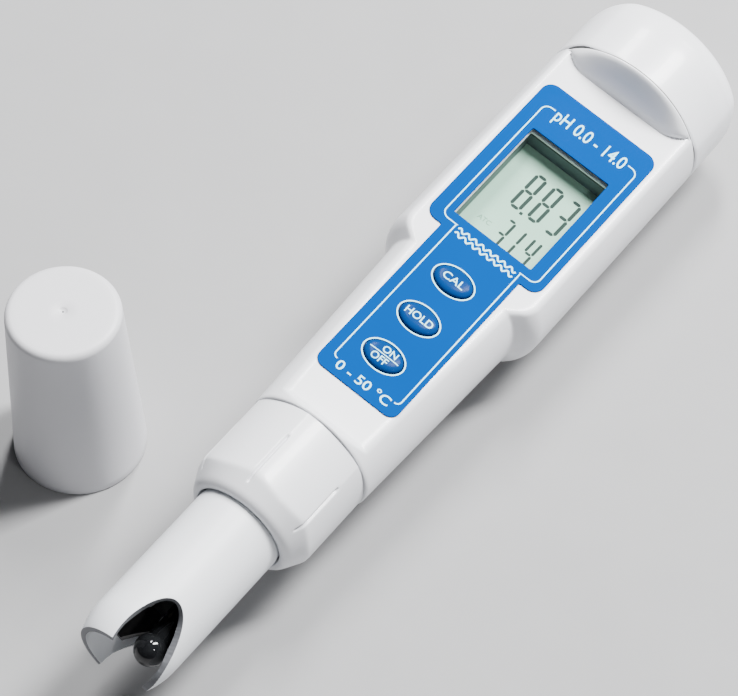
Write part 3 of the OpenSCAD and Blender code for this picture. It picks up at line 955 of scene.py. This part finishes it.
def make_display():
    glass = prism("lcd_glass", rounded_box(LCD_LOW.x, LCD_LOW.y, LCD_HIGH.x, LCD_HIGH.y, 0.4, 3),
                  LCD_LOW.z, LCD_HIGH.z)
    settle(glass, "root", LCD, ["lcd_panel"])
    surface = LCD_HIGH.z

    def on_glass(x, y):
        return surface

    reading = [dot_shape(-0.68, READING_Y, 0.36)]
    for i, digit in enumerate("883"):
        reading += segment_digit(digit, -3.65 + 4.4 * i, READING_Y + 0.35, 2.15, 9.4, bar=0.38)
    for x, digit in ((-1.7, "3"), (1.15, "1"), (5.05, "4")):
        reading += segment_digit(digit, x, READING_Y - 10.4, 1.65, 7.7, bar=0.3)
    printed("reading_segments", reading, level=on_glass, thickness=0.012, material=SEGMENT)
    faint = lettering("ATC", -5.3, WINDOW_LOW + 6.4, 1.6, bold=0.02)
    printed("compensation_mark", [faint], level=on_glass, thickness=0.012, material=FAINT_SEGMENT)


# ---- buttons -------------------------------------------------------------

def dome(x, y):
    """Height of a key's top above its rim, on the ellipse of its outline."""
    reach = (x / KEY_A) ** 2 + (y / KEY_B) ** 2
    return (KEY_TOP - KEY_RIM) * max(0.0, 1 - reach ** 2) ** 0.5


def make_key(key):
    centre = KEY_YS[key]
    around, steps = 72, 14
    shares = [math.sin(math.pi / 2 * i / steps) for i in range(1, steps + 1)]
    vertices = [(0, centre, KEY_RIM + dome(0, 0))]
    for share in shares:
        for x, y in oval(0, 0, KEY_A * share, KEY_B * share, around):
            vertices.append((x, centre + y, KEY_RIM + dome(x, y)))
    roof = FACE_Z - WALL - 0.2
    flange = 0.8
    for wider, z in ((0, FACE_Z - 0.4), (0, roof), (flange, roof), (flange, KEY_LOW)):
        vertices += [(x, centre + y, z) for x, y in oval(0, 0, KEY_A + wider, KEY_B + wider, around)]
    rows = steps + 4
    faces = [(0, 1 + i, 1 + (i + 1) % around) for i in range(around)]
    for row in range(rows - 1):
        a, b = 1 + row * around, 1 + (row + 1) * around
        faces += [(a + i, b + i, b + (i + 1) % around, a + (i + 1) % around) for i in range(around)]
    faces.append(tuple(reversed(range(1 + (rows - 1) * around, 1 + rows * around))))
    button = new_object(key + "_key", vertices, faces)
    outward(button)
    body = KEYS[key]
    settle(button, body, BLUE_KEY, [KEYS[key]])

    def on_key(x, y):
        return KEY_RIM + dome(x, y - centre)

    if key == "power":
        flat = [lettering("ON", 0.6, centre + 1.2, 2.2, bold=0.02)]
        flat += [lettering("OFF", -0.3, centre - 1.2, 2.2, bold=0.02)]
        flat.append(ribbon([(-3.4 + 6.8 * i / 24, centre) for i in range(25)], 0.2))
    else:
        flat = [lettering(key.upper(), 0, centre, 2.4, width=6.4 if key == "hold" else 5.0, bold=0.02)]
    printed(key + "_legend", flat, body=body, level=on_key, thickness=0.03)
    ring = [ribbon(oval(0, centre, KEY_A + 0.42, KEY_B + 0.42, 96), 0.28, closed=True)]
    printed(key + "_ring", ring)


# ---- what stays from the CAD ---------------------------------------------

CAD_FINISH = {
    "window_lens": LENS, "window_gasket": RUBBER, "lcd_bezel": BEZEL, "lcd_contact_strips": RUBBER,
    "main_board": BOARD, "controller_chip": BLACK, "board_components": CHIP, "switch_bodies": BLACK,
    "cal_plunger": NYLON, "hold_plunger": NYLON, "power_plunger": NYLON, "keypad_gasket": RUBBER,
    "battery_tray": NYLON, "button_cells": STEEL, "negative_contact": STEEL, "probe_socket": BLACK,
    "socket_contacts": GOLD, "probe_leads": SLEEVE, "positive_contact": STEEL,
    # the probe core's black lining inside the tube is partly painted shade
    "probe_core": CORE_BLACK_AND_SHADE, "inner_electrode": SILVER, "temperature_sensor": STEEL,
    "reference_junction": CERAMIC, "probe_plug": BLACK, "plug_pins": GOLD, "probe_o_ring": RUBBER,
    "tip_cap_sponge": FOAM,
}


def finish_cad_nodes():
    for name, material in CAD_FINISH.items():
        node = frame["nodes"][name]
        node.data.materials.clear()
        node.data.materials.append(material)


cad_floor = min(v.co.z for o in frame["nodes"].values() for v in o.data.vertices)
make_camera()
make_stage()
make_housing()
make_battery_cap()
make_collar()
make_tube()
make_electrode()
make_tip_cap()
make_film()
make_border()
make_legends()
make_display()
for key in KEYS:
    make_key(key)
finish_cad_nodes()
